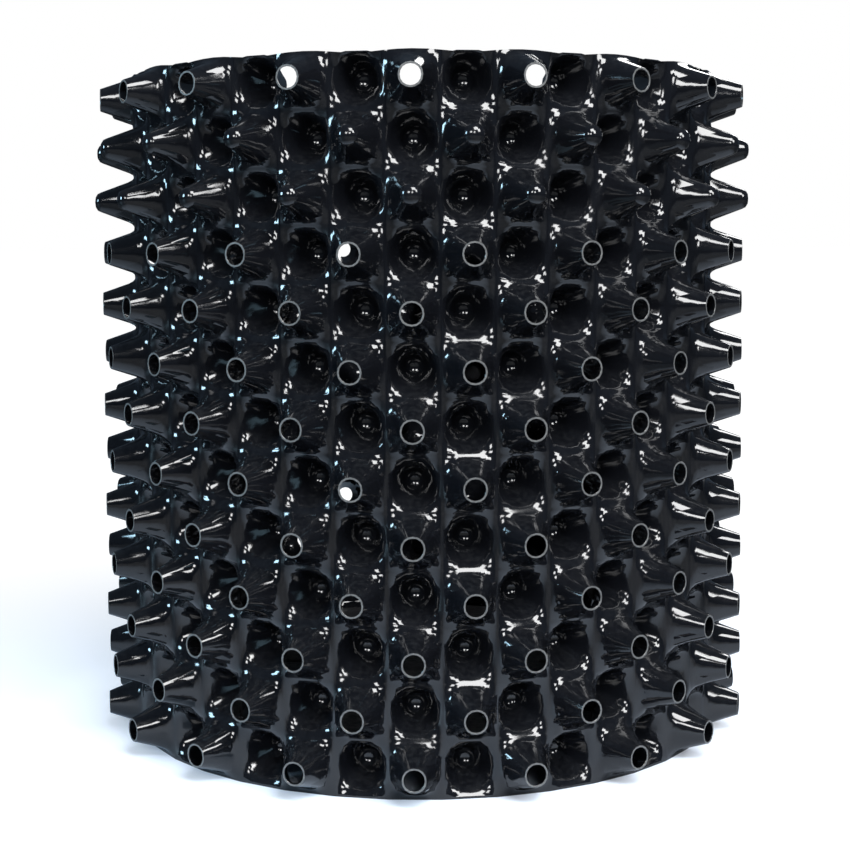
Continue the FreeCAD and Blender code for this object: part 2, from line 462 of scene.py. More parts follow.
@dataclass
class PlasticEffects:
    """Node groups that the pot's plastics share: the sheet's ripple and grain, and its scuffs.

    A span is the part of a noise, or of the slope in dust_slope, over which a mark comes in.
    """

    relief_depth: float = 0.0004
    smudge_scale: float = 35.0
    smudge_span: Span = (0.48, 0.72)
    streak_scale: tuple[float, float, float] = (900.0, 900.0, 60.0)
    streak_span: Span = (0.55, 0.8)
    streak_share: float = 0.5
    dust_slope: Span = (0.35, 1.0)
    speck_scale: float = 420.0
    speck_span: Span = (0.4, 0.7)
    saw_scale: float = 700.0
    saw_span: Span = (0.3, 0.65)
    saw_tint: Span = (0.55, 1.0)
    cut_roughness: float = 0.55
    relief: bpy.types.NodeTree = field(init=False)
    marks: bpy.types.NodeTree = field(init=False)

    def __post_init__(self) -> None:
        """Builds both groups."""
        self.relief = self.build_relief()
        self.marks = self.build_marks()

    def build_relief(self) -> bpy.types.NodeTree:
        """Builds the height of a formed surface: a slow ripple and a fine grain.

        Returns:
            The group, whose Height output feeds a Bump node.
        """
        group = bpy.data.node_groups.new("formed_relief", "ShaderNodeTree")
        given, made = group_sockets(
            group, {"Ripple": 0.5, "Ripple Scale": 60.0, "Grain": 0.1, "Grain Scale": 1500.0},
            {"Height": "NodeSocketFloat"})
        place = object_place(group)
        heights = []
        for amount, detail in (("Ripple", 1.0), ("Grain", 2.0)):
            noise = add_noise(group, place, given.outputs[amount + " Scale"], detail)
            heights.append(calculate(group, "MULTIPLY", noise, given.outputs[amount]))
        group.links.new(calculate(group, "ADD", *heights), made.inputs["Height"])
        return group

    def build_marks(self) -> bpy.types.NodeTree:
        """Builds handling marks: smudges that dull the gloss, and dust on faces that look up.

        Returns:
            The group, with a colour and a roughness.
        """
        group = bpy.data.node_groups.new("handling_marks", "ShaderNodeTree")
        given, made = group_sockets(
            group, {"Colour": (0.01, 0.01, 0.01, 1.0), "Worn": (0.05, 0.05, 0.05, 1.0),
                    "Roughness": 0.1, "Scuffed": 0.3, "Dust": 0.1},
            {"Colour": "NodeSocketColor", "Roughness": "NodeSocketFloat"})
        place = object_place(group)
        smudge = add_noise(group, place, self.smudge_scale, 5.0, 0.6)
        smudges = remap(group, smudge, self.smudge_span)
        long_way = add_node(group, "ShaderNodeMapping",
                            inputs={"Scale": self.streak_scale, "Vector": place})
        drawn = add_noise(group, long_way.outputs["Vector"], 1.0, 2.0)
        streaks = remap(group, drawn, self.streak_span)
        normal = add_node(group, "ShaderNodeNewGeometry").outputs["Normal"]
        facing = add_node(group, "ShaderNodeSeparateXYZ", inputs={"Vector": normal})
        settled = remap(group, facing.outputs["Z"], self.dust_slope)
        specks = remap(group, add_noise(group, place, self.speck_scale, 3.0), self.speck_span)
        dusty = calculate(group, "MULTIPLY", settled, specks)
        dust = calculate(group, "MULTIPLY", dusty, given.outputs["Dust"])
        colour = blend(group, dust, given.outputs["Colour"], given.outputs["Worn"])
        rub = calculate(group, "MULTIPLY_ADD", streaks, self.streak_share, smudges)
        dulled = calculate(group, "MULTIPLY_ADD", rub, given.outputs["Scuffed"],
                           given.outputs["Roughness"])
        group.links.new(colour, made.inputs["Colour"])
        group.links.new(calculate(group, "ADD", dulled, dust, clamped=True),
                        made.inputs["Roughness"])
        return group

    def make(self, finish: PlasticFinish) -> bpy.types.Material:
        """Makes one plastic.

        Args:
            finish: Its colours, gloss and marks.

        Returns:
            The material.
        """
        material = bpy.data.materials.new(finish.name)
        material.use_nodes = True
        tree = material.node_tree
        shader = tree.nodes["Principled BSDF"]
        shader.inputs["IOR"].default_value = 1.5
        relief = add_node(tree, "ShaderNodeGroup", {"node_tree": self.relief},
                          {"Ripple": finish.ripple, "Ripple Scale": finish.ripple_scale,
                           "Grain": finish.grain, "Grain Scale": finish.grain_scale})
        bump = add_node(tree, "ShaderNodeBump", inputs={
            "Strength": 1.0, "Distance": self.relief_depth, "Height": relief.outputs["Height"]})
        marks = add_node(tree, "ShaderNodeGroup", {"node_tree": self.marks},
                         {"Colour": (*finish.colour, 1.0), "Worn": (*finish.worn, 1.0),
                          "Roughness": finish.roughness, "Scuffed": finish.scuffed,
                          "Dust": finish.dust})
        colour, roughness = marks.outputs["Colour"], marks.outputs["Roughness"]
        if finish.cut:
            colour, roughness = self.pale_cuts(tree, colour, roughness, finish.cut)
        tree.links.new(colour, shader.inputs["Base Color"])
        tree.links.new(roughness, shader.inputs["Roughness"])
        tree.links.new(bump.outputs["Normal"], shader.inputs["Normal"])
        return material

    def pale_cuts(self, tree: bpy.types.NodeTree, colour: Socket, roughness: Socket,
                  cut: Colour) -> tuple[Socket, Socket]:
        """Makes the cut rims of the studs pale and dull.

        Args:
            tree: The plastic's nodes.
            colour: Its colour elsewhere.
            roughness: Its roughness elsewhere.
            cut: Colour of a cut rim.

        Returns:
            The colour and the roughness with the rims in them.
        """
        rim = add_node(tree, "ShaderNodeAttribute", {"attribute_name": "cut_rim"}).outputs["Fac"]
        sawn = remap(tree, add_noise(tree, object_place(tree), self.saw_scale, 2.0),
                     self.saw_span, self.saw_tint)
        share = calculate(tree, "MULTIPLY", rim, sawn)
        return (blend(tree, share, colour, (*cut, 1.0)),
                blend(tree, rim, roughness, self.cut_roughness, "FLOAT"))


SHEET_PLASTIC = PlasticFinish("wall_gloss_black", (0.0040, 0.0045, 0.0060), (0.08, 0.085, 0.09),
                              roughness=0.085, scuffed=0.07, ripple=0.10, ripple_scale=70.0,
                              grain=0.02, grain_scale=1800.0, dust=0.08, cut=(0.10, 0.104, 0.106))
PLATE_PLASTIC = PlasticFinish("plate_black", (0.014, 0.014, 0.016), (0.10, 0.10, 0.10),
                              roughness=0.32, scuffed=0.18, ripple=0.15, ripple_scale=40.0,
                              grain=0.12, grain_scale=1400.0, dust=0.25)
FASTENER_PLASTIC = PlasticFinish("fastener_black", (0.015, 0.015, 0.017), (0.10, 0.10, 0.10),
                                 roughness=0.26, scuffed=0.15, ripple=0.1, ripple_scale=90.0,
                                 grain=0.08, grain_scale=2200.0, dust=0.15)


@dataclass
class StudWall:
    """The egg-crate sheet: one stud of each kind and one dimple, repeated over the rolled strip.

    A ring is named by its reach along the cell's axes, as a share of half the cell: near 0 it is
    round, and at 1 it is the cell's square edge, whose corners lie flat where four cells meet.
    A flank starts gently at the edge, over the fillet's share, and is straight past it.
    Rings under round_upto stay round and those past square_from grow square. The plays say how
    far, in millimetres, a vertex may lie off the border, the flank's end, its height and a
    dome's foot and still be shaded as theirs.
    """

    lattice: Lattice
    sides: int = 16
    skin: float = 0.5
    rim_wall: float = 0.9
    rim_edge: float = 0.16
    tip_radius: float = 5.1
    tip_reach: float = 149.0
    crown_radius: float = 4.5
    crown_reach: float = 152.0
    bottom_radius: float = 4.6
    bottom_reach: float = 117.2
    dome_rise: float = 2.7
    round_upto: float = 0.3
    fillet: float = 0.22
    fillet_start: float = 0.25
    square_from: float = 0.8
    corner_reach: float = 7.0
    foot_shares: tuple[float, ...] = (0.95, 0.88, 0.79, 0.62)
    back_shares: tuple[float, ...] = (0.9,)
    dome_steps: tuple[Ring, ...] = ((0.84, 0.55), (0.5, 0.89))
    rim_wave: float = 1.2
    merge_reach: float = 0.12
    smooth_angle: float = 42.0
    border_play: float = 0.05
    end_play: float = 0.2
    height_play: float = 0.35
    dome_play: float = 0.6
    slope_step: float = 0.02
    unsqueeze_rounds: int = 3
    heights: dict[tuple[CellKind, float, float], float] = field(default_factory=dict)
    leans: dict[tuple[CellKind, float, float], tuple[float, float]] = field(default_factory=dict)

    @property
    def half(self) -> tuple[float, float]:
        """Half the width and half the height of a cell."""
        return self.lattice.cell_width / 2, self.lattice.row_pitch / 2

    def level(self, reach: float) -> float:
        """Height over a cell's flat side of a distance from the axis."""
        return reach - self.lattice.chord_radius

    def brink(self, away: float, share: float) -> float:
        """How far a place has left the cell's side, from 0 on it to 1, for a ring's shape.

        Args:
            away: Distance from the side.
            share: The ring's reach, as a share of half the cell.

        Returns:
            The part, which grows faster on the outer rings, so these are nearly square.
        """
        square = min(1.0, max(0.0, (share - self.square_from) / (1 - self.square_from)))
        reach = self.half[1] + (self.corner_reach - self.half[1]) * square
        return math.sin(math.pi / 2 * min(1.0, max(0.0, away) / reach))

    def stretch(self, share: float, turn: float) -> float:
        """How far past its reach along the axes a ring stands out in another direction.

        Args:
            share: The ring's reach, as a share of half the cell.
            turn: Direction from the ring's middle, 0 being along an axis.

        Returns:
            The ratio to its reach along the axes.
        """
        side = self.half[1]
        wanted = self.brink(side * (1 - share), share)
        low, _ = halve(share, share * math.sqrt(2), lambda reach: (
            self.brink(side * (1 - reach * math.cos(turn)), share)
            * self.brink(side * (1 - reach * math.sin(turn)), share)) > wanted)
        return low / share

    def share_at(self, across: float, up: float) -> float:
        """Finds the ring that runs through a place of a cell, measured as if it were square.

        Args:
            across: Place along X.
            up: Place along Y.

        Returns:
            The ring's reach, as a share of half the cell.
        """
        side = self.half[1]
        low, high = halve(0.0, 1.0, lambda share: (
            self.brink(side - abs(across), share) * self.brink(side - abs(up), share)
            <= self.brink(side * (1 - share), share)))
        return (low + high) / 2

    def climb(self, way: float) -> float:
        """Says how far a flank has risen, in no unit.

        Args:
            way: How far in from the cell's edge, as a share of half the cell.

        Returns:
            The rise.
        """
        start, fillet = self.fillet_start, self.fillet
        if way < fillet:
            return start * way + (1 - start) * way ** 3 / (3 * fillet ** 2)
        return way - (1 - start) * fillet * 2 / 3

    def front_end(self, kind: CellKind) -> Ring:
        """Says where a cell's front flank ends.

        Args:
            kind: Kind of the cell.

        Returns:
            Radius and height of the flank's far end.
        """
        if kind is CellKind.OPEN_STUD:
            return self.tip_radius, self.level(self.tip_reach) - self.rim_edge
        if kind is CellKind.CLOSED_STUD:
            return self.crown_radius, self.level(self.crown_reach) - self.dome_rise
        return self.bottom_radius, self.level(self.bottom_reach) + self.dome_rise

    def flank(self, end: Ring, land: float, shares: Sequence[float]) -> list[Ring]:
        """Rings of a flank, from near the cell's edge to its far end.

        Args:
            end: Radius and height of the flank's far end.
            land: Height of the cell's edge; a flank that ends below it is a dimple's.
            shares: Reach of each ring before the end.

        Returns:
            Radius and height of each ring.
        """
        side = self.half[1]
        rings = []
        for share in shares:
            rise = self.climb(1 - share) / self.climb(1 - end[0] / side)
            rings.append((share * side, land + (end[1] - land) * rise))
        return rings + [end]

    def dome(self, end: Ring, top: float, steps: Sequence[Ring]) -> list[Ring]:
        """Rings of a rounded crown past a flank's end, up to its middle point.

        Args:
            end: Radius and height of the flank's end.
            top: Height of the crown's middle.
            steps: Shares of the radius and of the rise at each ring.

        Returns:
            Radius and height of each ring; the last has no radius.
        """
        rise = top - end[1]
        return [(end[0] * across, end[1] + rise * up) for across, up in steps] + [(0.0, top)]

    @staticmethod
    def on_ring(at: Vector, ring: Ring) -> bool:
        """Says whether a place is on a ring of a skin, whose radius and height are given."""
        return abs(at.z - ring[1]) <= CLOSE and abs(math.hypot(at.x, at.y) - ring[0]) <= ON_RING

    def pull_out(self, skin: bpy.types.Object, ring: Ring) -> None:
        """Draws a ring's corners out to the shape that the egg-crate has at its reach.

        Args:
            skin: Skin that is open in edit mode.
            ring: Radius and height of the ring.
        """
        radius, level = ring
        share = radius / self.half[1]
        if share < self.round_upto:
            return
        for eighth in (1, 2):
            turn = eighth * math.pi / 8
            out = self.stretch(share, turn)

            def wanted(at: Vector, turn: float = turn) -> bool:
                """Whether a place is on the ring, at this turn from either axis."""
                angle = math.atan2(abs(at.y), abs(at.x))
                return (self.on_ring(at, ring)
                        and min(abs(angle - turn), abs(math.pi / 2 - angle - turn)) < CLOSE)

            pick_vertices(skin, wanted)
            bpy.ops.transform.resize(value=(out, out, 1.0), center_override=(0, 0, level * MM))

    def square_edge(self, skin: bpy.types.Object, foot: Ring, land: float) -> None:
        """Extrudes the outmost ring to the cell's square edge and flattens its four sides.

        Args:
            skin: Skin that is open in edit mode.
            foot: Radius and height of its outmost ring.
            land: Height of the edge.
        """
        radius, level = foot
        half = self.half
        pick_vertices(skin, lambda at: self.on_ring(at, foot))
        extrude((0, 0, land - level))
        grow = [side * math.sqrt(2) / radius for side in half]
        bpy.ops.transform.resize(value=(grow[0], grow[1], 1.0), center_override=(0, 0, land * MM))
        for axis in (0, 1):
            for side in (-1, 1):
                pick_vertices(skin, lambda at, axis=axis, side=side: abs(at.z - land) < CLOSE
                              and at[axis] * side > half[axis] - CLOSE)
                flat = [1.0, 1.0, 1.0]
                centre = [0.0, 0.0, land * MM]
                flat[axis], centre[axis] = 0.0, side * half[axis] * MM
                bpy.ops.transform.resize(value=flat, center_override=centre)

    def make_skin(self, name: str, rings: Sequence[Ring], land: float) -> bpy.types.Object:
        """Models one skin of a cell from its outmost ring inward, and then its square edge.

        Args:
            name: Name of the skin.
            rings: Radius and height of each ring, the outmost first.
            land: Height of the square edge.

        Returns:
            The skin.
        """
        skin = start_ring(rings[0], self.sides, name)
        raise_rings(rings)
        self.square_edge(skin, rings[0], land)
        for ring in rings:
            self.pull_out(skin, ring)
        bpy.ops.object.mode_set(mode="OBJECT")
        squeeze = self.half[0] / self.half[1]
        for vertex in skin.data.vertices:
            share = min(1.0, math.hypot(*vertex.co.xy) / (self.half[1] * MM))
            if abs(vertex.co.z - land * MM) > CLOSE * MM:
                vertex.co.x *= 1 + (squeeze - 1) * share
        return skin

    def make_cell(self, kind: CellKind) -> bpy.types.Object:
        """Models one cell, both its skins, in the cell's own frame.

        Args:
            kind: Kind of the cell.

        Returns:
            The cell.
        """
        end = self.front_end(kind)
        front = self.flank(end, self.skin, self.foot_shares)
        if kind is CellKind.OPEN_STUD:
            tip, hole = self.level(self.tip_reach), self.tip_radius - self.rim_wall
            front += [(self.tip_radius - self.rim_edge, tip), (hole + self.rim_edge, tip),
                      (hole, end[1])]
            back = self.flank(front[-1], -self.skin, self.back_shares)
        else:
            is_stud = kind is CellKind.CLOSED_STUD
            top = self.level(self.crown_reach if is_stud else self.bottom_reach)
            front += self.dome(end, top, self.dome_steps)
            inner = (end[0] + (-self.rim_wall if is_stud else self.rim_wall), end[1])
            back = (self.flank(inner, -self.skin, self.back_shares)
                    + self.dome(inner, top - self.rim_wall, self.dome_steps[:1 if is_stud else 2]))
        name = kind.name.lower()
        cell = join([self.make_skin(name, front, self.skin),
                     self.make_skin(name + "_back", back, -self.skin)], name)
        if kind is CellKind.OPEN_STUD:
            open_editing(cell)
            bpy.ops.mesh.select_all(action="SELECT")
            bpy.ops.mesh.remove_doubles(threshold=CLOSE * MM)
            bpy.ops.object.mode_set(mode="OBJECT")
        cut = cell.data.attributes.new("cut_rim", "FLOAT", "POINT")
        for vertex in cell.data.vertices:
            is_cut = kind is CellKind.OPEN_STUD and vertex.co.z > (end[1] + self.rim_edge / 2) * MM
            cut.data[vertex.index].value = float(is_cut)
        return cell

    def edge_strip(self, name: str, place: Vector, turn: Euler, length: float,
                   cuts: int) -> bpy.types.Object:
        """Models a strip that closes the two skins along one side of a cell.

        Args:
            name: Name of the strip.
            place: Middle of the strip in the cell's frame.
            turn: Turn of the strip, which lies along X with its width along Y before it.
            length: Length of the strip.
            cuts: Cuts across the strip.

        Returns:
            The strip.
        """
        clear_selection()
        bpy.ops.mesh.primitive_plane_add(size=1.0)
        strip = bpy.context.object
        strip.name = name
        strip.scale = (length * MM, 2 * self.skin * MM, 1.0)
        settle(strip)
        if cuts:
            open_editing(strip, "EDGE")
            bpy.ops.object.mode_set(mode="OBJECT")
            for edge in strip.data.edges:
                ends = [strip.data.vertices[corner].co for corner in edge.vertices]
                edge.select = abs(ends[0].y - ends[1].y) < CLOSE * MM
            bpy.ops.object.mode_set(mode="EDIT")
            bpy.ops.mesh.subdivide(number_cuts=cuts)
            # The cuts move to where the rays to a ring's corners meet the cell's side.
            for side in (-1, 1):
                pick_vertices(strip, lambda at, side=side: (
                    CLOSE < at.x * side < length / 2 - CLOSE))
                spread = math.sqrt(2) * math.sin(math.pi / 8) * length / 2 - length / 4
                bpy.ops.transform.translate(value=(side * spread * MM, 0, 0))
            bpy.ops.object.mode_set(mode="OBJECT")
        strip.rotation_euler = turn
        strip.location = place * MM
        settle(strip)
        return strip

    def make_edges(self) -> list[bpy.types.Object]:
        """Copies the strips that close the sheet's top, foot and two ends, with its plain skirt.

        Returns:
            The strips, in place.
        """
        lattice = self.lattice
        across, up, drop = lattice.cell_width / 2, lattice.row_pitch / 2, lattice.skirt_drop
        cuts = self.sides // 4 - 1
        flat = Euler((math.pi / 2, 0, 0))
        upright = Euler((math.pi / 2, 0, math.pi / 2))
        top = self.edge_strip("top_edge", Vector((0, up, 0)), flat, 2 * across, cuts)
        foot = self.edge_strip("skirt", Vector((0, -up - drop, 0)), flat, 2 * across, cuts)
        for side in (-1, 1):
            open_editing(foot)
            pick_vertices(foot, lambda at, side=side: (
                at.z * side > CLOSE and at.y < -up - drop / 2))
            extrude((0, drop, 0))
            bpy.ops.object.mode_set(mode="OBJECT")
        ends = [(self.edge_strip("end", Vector((-across, 0, 0)), upright, 2 * up, cuts), 0),
                (self.edge_strip("end", Vector((across, 0, 0)), upright, 2 * up, cuts),
                 lattice.columns)]
        copies = []
        for place in range(lattice.columns + 1):
            copies.append(place_copy(top, lattice.lapped_stand(place, 0)))
            copies.append(place_copy(foot, lattice.lapped_stand(place, lattice.rows - 1)))
        for end, place in ends:
            for row in range(lattice.rows):
                copies.append(place_copy(end, lattice.lapped_stand(place, row)))
            side = across if place else -across
            corner = self.edge_strip("skirt_end", Vector((side, -up - drop / 2, 0)), upright,
                                     drop, 0)
            copies.append(place_copy(corner, lattice.lapped_stand(place, lattice.rows - 1)))
            bpy.data.objects.remove(corner)
            bpy.data.objects.remove(end)
        bpy.data.objects.remove(top)
        bpy.data.objects.remove(foot)
        return copies

    def close_sheet(self, wall: bpy.types.Object) -> None:
        """Merges the cells and strips into one closed sheet, and waves its top edge.

        Args:
            wall: The joined cells and strips.
        """
        top = self.lattice.height
        open_editing(wall)
        bpy.ops.mesh.select_all(action="SELECT")
        bpy.ops.mesh.remove_doubles(threshold=self.merge_reach * MM)
        for quarter in range(1, 5):
            drop = self.rim_wave * (1 - math.cos(math.pi * quarter / 4)) / 2

            def over(at: Vector, quarter: int = quarter) -> bool:
                """Whether a place on the top edge is so many quarters from a stud's middle."""
                turn = math.atan2(at.x, -at.y) / self.lattice.half_step
                away = abs((turn + 2) % 4 - 2) * 2
                return at.z >= top - CLOSE and abs(away - quarter) < 0.4

            pick_vertices(wall, over)
            bpy.ops.transform.translate(value=(0, 0, -drop * MM))
        bpy.ops.mesh.select_all(action="SELECT")
        bpy.ops.mesh.normals_make_consistent(inside=False)
        bpy.ops.mesh.select_all(action="DESELECT")
        bpy.ops.mesh.select_non_manifold()
        bpy.ops.object.mode_set(mode="OBJECT")
        LOG.info("sheet: %d edges left open", sum(edge.select for edge in wall.data.edges))

    def front_height(self, kind: CellKind, across: float, up: float) -> float:
        """Finds how high a cell's front flank is, measured as if the cell were square.

        Args:
            kind: Kind of the cell.
            across: Place along X.
            up: Place along Y.

        Returns:
            The height over the cell's flat side.
        """
        key = (kind, round(abs(across), 3), round(abs(up), 3))
        if key not in self.heights:
            radius, height = self.front_end(kind)
            rise = self.climb(1 - self.share_at(*key[1:])) / self.climb(1 - radius / self.half[1])
            self.heights[key] = self.skin + (height - self.skin) * rise
        return self.heights[key]

    def lean(self, kind: CellKind, across: float, up: float) -> tuple[float, float]:
        """How a cell's front leans along its X and Y, the same for both cells at their border.

        Args:
            kind: Kind of the cell.
            across: Place along X, measured as if the cell were square.
            up: Place along Y.

        Returns:
            Fall of the front for each millimetre along X and along Y.
        """
        key = (kind, round(across, 2), round(up, 2))
        if key not in self.leans:
            side, step = self.half[1], self.slope_step
            falls = []
            for axis in (0, 1):
                place = key[1:]
                near = [min(side - step, max(step - side, value)) if k == axis else value
                        for k, value in enumerate(place)]
                ends = [[value + (way * step if k == axis else 0) for k, value in enumerate(near)]
                        for way in (-1, 1)]
                before, after = (self.front_height(kind, *end) for end in ends)
                falls.append((before - after) / (2 * step))
                if side - max(abs(value) for value in place) < self.border_play:
                    falls[-1] *= self.border_ratio(kind)
            self.leans[key] = (falls[0] * side / self.half[0], falls[1])
        return self.leans[key]

    def border_ratio(self, kind: CellKind) -> float:
        """Compares the mean of a stud's and a dimple's steepness at the foot with one kind's.

        Args:
            kind: Kind of the cell.

        Returns:
            The mean, divided by the kind's own steepness.
        """
        other = CellKind.OPEN_STUD if kind is CellKind.DIMPLE else CellKind.DIMPLE
        foot = {each: abs(self.front_end(each)[1] - self.skin)
                / self.climb(1 - self.front_end(each)[0] / self.half[1]) for each in (kind, other)}
        return (foot[kind] + foot[other]) / 2 / foot[kind]

    def facing(self, at: Vector, column: int, row: int) -> Vector | None:
        """Which way the egg-crate's front faces at one of its vertices.

        Args:
            at: The vertex, in millimetres.
            column: Column of the cell that it bounds.
            row: Row of that cell.

        Returns:
            The direction, or None away from the front flank.
        """
        side = self.half[1]
        kind = self.lattice.kind(column, row)
        x, y = at.dot(self.lattice.along(column)), at.z - self.lattice.row_height(row)
        # The cell's squeeze to its width grows with the way out, so it is undone in rounds.
        across = x
        for _ in range(self.unsqueeze_rounds):
            share = min(1.0, math.hypot(across, y) / side)
            across = x / (1 + (self.half[0] / side - 1) * share)
        if (max(abs(across), abs(y)) > side + self.border_play
                or math.hypot(across, y) < self.front_end(kind)[0] - self.end_play):
            return None
        height = self.level(at.dot(self.lattice.outward(column)))
        flank = self.front_height(kind, round(across, 2), round(y, 2))
        if abs(height - flank) > self.height_play:
            return None
        fall = self.lean(kind, across, y)
        outward = Vector((at.x, at.y, 0.0)).normalized()
        around = Vector((-outward.y, outward.x, 0.0))
        return (outward + around * fall[0] + Vector((0.0, 0.0, fall[1]))).normalized()

    def even_out(self, wall: bpy.types.Object) -> None:
        """Makes the front's shading follow the egg-crate's true slopes instead of its facets.

        Args:
            wall: The closed sheet.
        """
        mesh, lattice = wall.data, self.lattice
        reach = max(self.crown_radius, self.bottom_radius) + self.dome_play
        kept = [corner.vector.copy() for corner in mesh.corner_normals]
        places = [vertex.co / MM for vertex in mesh.vertices]
        for face in mesh.polygons:
            centre = face.center / MM
            column = round(math.atan2(centre.x, -centre.y) / (2 * lattice.half_step))
            row = int((lattice.height - centre.z) / lattice.row_pitch)
            row = min(lattice.rows - 1, max(0, row))
            if column % lattice.columns in (lattice.seam, lattice.seam + 1):
                continue
            ways = [self.facing(places[corner], column, row) for corner in face.vertices]
            if all(ways):
                for loop, way in zip(face.loop_indices, ways):
                    kept[loop] = way
            elif lattice.kind(column, row) is not CellKind.OPEN_STUD:
                # A dome's outer faces share the flank's last ring and its slope there.
                for loop, corner, way in zip(face.loop_indices, face.vertices, ways):
                    away = (abs(places[corner].dot(lattice.along(column))),
                            abs(places[corner].z - lattice.row_height(row)))
                    if way and max(away) < reach:
                        kept[loop] = way
        mesh.normals_split_custom_set(kept)

    def build(self) -> bpy.types.Object:
        """Builds the whole sheet.

        Returns:
            The sheet.
        """
        cells = {kind: self.make_cell(kind) for kind in CellKind}
        copies = []
        for place in range(self.lattice.columns + 1):
            for row in range(self.lattice.rows):
                cell = cells[self.lattice.kind(self.lattice.seam + place, row)]
                copies.append(place_copy(cell, self.lattice.lapped_stand(place, row)))
        wall = join(copies + self.make_edges(), "stud_wall")
        for cell in cells.values():
            bpy.data.objects.remove(cell)
        self.close_sheet(wall)
        smooth(wall, self.smooth_angle)
        apply_modifier(wall, "WEIGHTED_NORMAL", keep_sharp=True)
        self.even_out(wall)
        return wall

    def dress(self, wall: bpy.types.Object, plastic: bpy.types.Material) -> None:
        """Gives the sheet its plastic and its place in the part.

        Args:
            wall: The sheet.
            plastic: Its plastic.
        """
        give_plastic(wall, plastic)
        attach(wall, "root")
        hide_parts("wall_sheet")


@dataclass
class BasePlate:
    """The slotted disc that stands on the lowest ring of dimples."""

    radius: float = 124.6
    sides: int = 76
    low: float = 20.15
    high: float = 22.65
    hub_radius: float = 20.0
    band_width: float = 9.0
    ring_width: float = 8.0
    slot_width: float = 6.0
    slot_rings: int = 3
    slot_sides: int = 12
    slots_least: int = 5
    cutter_depth: float = 8.0
    edge: float = 0.4
    edge_angle: float = 40.0
    smooth_angle: float = 35.0

    def slot_cutter(self, inner: float, outer: float) -> bpy.types.Object:
        """Models one round-ended slot as a cutter along +X.

        Args:
            inner: Axis to the slot's near end.
            outer: Axis to its far end.

        Returns:
            The cutter.
        """
        clear_selection()
        half = self.slot_width / 2
        middle = inner + half
        bpy.ops.mesh.primitive_cylinder_add(
            vertices=self.slot_sides, radius=half * MM, depth=self.cutter_depth * MM,
            location=(middle * MM, 0, (self.low + self.high) / 2 * MM))
        cutter = bpy.context.object
        settle(cutter)
        open_editing(cutter)
        pick_vertices(cutter, lambda at: at.x > middle + CLOSE)
        bpy.ops.transform.translate(value=((outer - half - middle) * MM, 0, 0))
        bpy.ops.object.mode_set(mode="OBJECT")
        return cutter

    def build(self) -> bpy.types.Object:
        """Builds the plate.

        Returns:
            The plate.
        """
        reach = self.radius - self.band_width - self.hub_radius + self.ring_width
        reach /= self.slot_rings
        cutters = []
        for ring in range(1, self.slot_rings + 1):
            inner = self.hub_radius + (ring - 1) * reach
            master = self.slot_cutter(inner, inner + reach - self.ring_width)
            count = ring * self.slots_least
            for k in range(count):
                turn = Matrix.Rotation(2 * math.pi * k / count, 4, "Z")
                cutters.append(place_copy(master, turn))
            bpy.data.objects.remove(master)
        cutter = join(cutters, "slot_cutters")
        clear_selection()
        bpy.ops.mesh.primitive_cylinder_add(vertices=self.sides, radius=self.radius * MM,
                                            depth=(self.high - self.low) * MM,
                                            location=(0, 0, (self.low + self.high) / 2 * MM))
        plate = bpy.context.object
        plate.name = plate.data.name = "slotted_base_plate"
        settle(plate)
        apply_modifier(plate, "BOOLEAN", operation="DIFFERENCE", object=cutter, solver="EXACT")
        bpy.data.objects.remove(cutter)
        apply_modifier(plate, "BEVEL", width=self.edge * MM, segments=2, limit_method="ANGLE",
                       angle_limit=math.radians(self.edge_angle))
        smooth(plate, self.smooth_angle)
        return plate

    def dress(self, plate: bpy.types.Object, plastic: bpy.types.Material) -> None:
        """Gives the plate its plastic and its place in the part.

        Args:
            plate: The plate.
            plastic: Its plastic.
        """
        give_plastic(plate, plastic)
        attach(plate, "root")
        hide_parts("base_plate")


